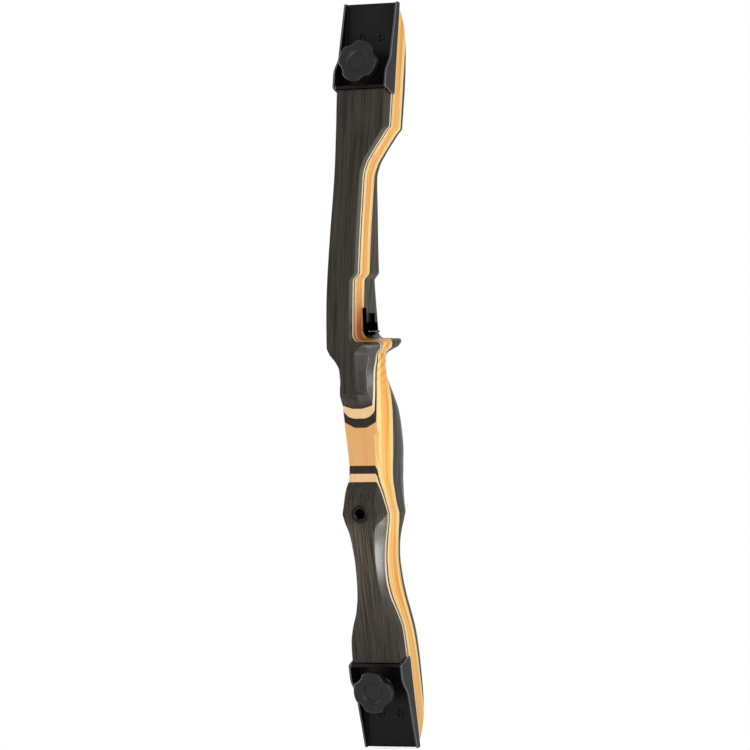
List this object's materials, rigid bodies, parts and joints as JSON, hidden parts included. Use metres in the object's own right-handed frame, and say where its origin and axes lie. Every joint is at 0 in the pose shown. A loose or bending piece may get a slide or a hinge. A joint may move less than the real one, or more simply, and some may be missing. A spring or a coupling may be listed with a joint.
{
  "type": "takedown recurve bow riser",
  "caption": "Laminated wooden takedown recurve bow riser with shaped grip, sight window, limb pockets, hand-turned limb bolts and a stick-on arrow rest.",
  "frame": {"origin": "the grip's throat: the deepest point of the grip on the archer's side, on the centre line", "axes": "+Z along the riser towards the upper limb, -Y towards the target, +X towards the sight window side"},
  "size_m": [0.0484, 0.0749, 0.6092],
  "materials": {
    "dark_face_wood": "satin lacquer over vertical grain",
    "dark_belly_wood": "satin lacquer over vertical grain",
    "cream_veneer": "satin lacquer",
    "dark_veneer": "satin lacquer",
    "pale_core": "satin lacquer",
    "honey_core": "satin lacquer",
    "pocket_black": "satin black coating",
    "screw_black": "black oxide",
    "insert_brass": "machined",
    "bolt_steel": "zinc plated",
    "knob_plastic": "fine moulded texture",
    "cap_plastic": "fine moulded texture",
    "bushing_black": "black oxide",
    "rest_foam": "closed-cell foam tape",
    "rest_plastic": "moulded",
    "arm_steel": "drawn wire"
  },
  "bodies": {
    "riser": {"face_layer_upper": "dark_face_wood", "face_layer_lower": "dark_face_wood", "cream_veneer_upper": "cream_veneer", "cream_veneer_lower": "cream_veneer", "dark_veneer_upper": "dark_veneer", "dark_veneer_lower": "dark_veneer", "pale_core_front": "pale_core", "honey_core": "honey_core", "pale_core_rear": "pale_core", "belly_layer": "dark_belly_wood", "upper_pocket": "pocket_black", "lower_pocket": "pocket_black", "upper_pocket_screws": "screw_black", "lower_pocket_screws": "screw_black", "upper_bolt_insert": "insert_brass", "lower_bolt_insert": "insert_brass", "stabiliser_bushing": "bushing_black", "rest_pad": "rest_foam", "rest_plate": "rest_plastic"},
    "upper_washer_body": {"upper_washer": "bolt_steel"},
    "upper_bolt_body": {"upper_limb_bolt": "bolt_steel", "upper_knob": "knob_plastic", "upper_knob_cap": "cap_plastic"},
    "lower_washer_body": {"lower_washer": "bolt_steel"},
    "lower_bolt_body": {"lower_limb_bolt": "bolt_steel", "lower_knob": "knob_plastic", "lower_knob_cap": "cap_plastic"},
    "rest_arm_body": {"rest_arm": "arm_steel"}
  },
  "joints": [
    {"name": "upper_bolt_travel", "type": "slide", "parent": "riser", "child": "upper_washer_body", "axis": [0, -0.9816, 0.1908], "range_m": [-0.00799, 0.00799]},
    {"name": "upper_knob_turn", "type": "hinge", "parent": "upper_washer_body", "child": "upper_bolt_body", "pos_m": [0, 0.00184, 0.24394], "axis": [0, -0.9816, 0.1908], "range_deg": [-2302, 2302]},
    {"name": "lower_bolt_travel", "type": "slide", "parent": "riser", "child": "lower_washer_body", "axis": [0, -0.9816, -0.1908], "range_m": [-0.01249, 0.0035]},
    {"name": "lower_knob_turn", "type": "hinge", "parent": "lower_washer_body", "child": "lower_bolt_body", "pos_m": [0, 0.00184, -0.26354], "axis": [0, -0.9816, -0.1908], "range_deg": [-3598, 1009]},
    {"name": "rest_arm_swing", "type": "hinge", "parent": "riser", "child": "rest_arm_body", "pos_m": [0.0011, -0.00607, 0.0276], "axis": [0, 0, 1], "range_deg": [0, 11], "stiffness_Nm_per_rad": 0.002}
  ],
  "couplings": [
    {"joint": "upper_knob_turn", "follows": "upper_bolt_travel", "rad_per_m": 5026.5},
    {"joint": "lower_knob_turn", "follows": "lower_bolt_travel", "rad_per_m": 5026.5}
  ]
}
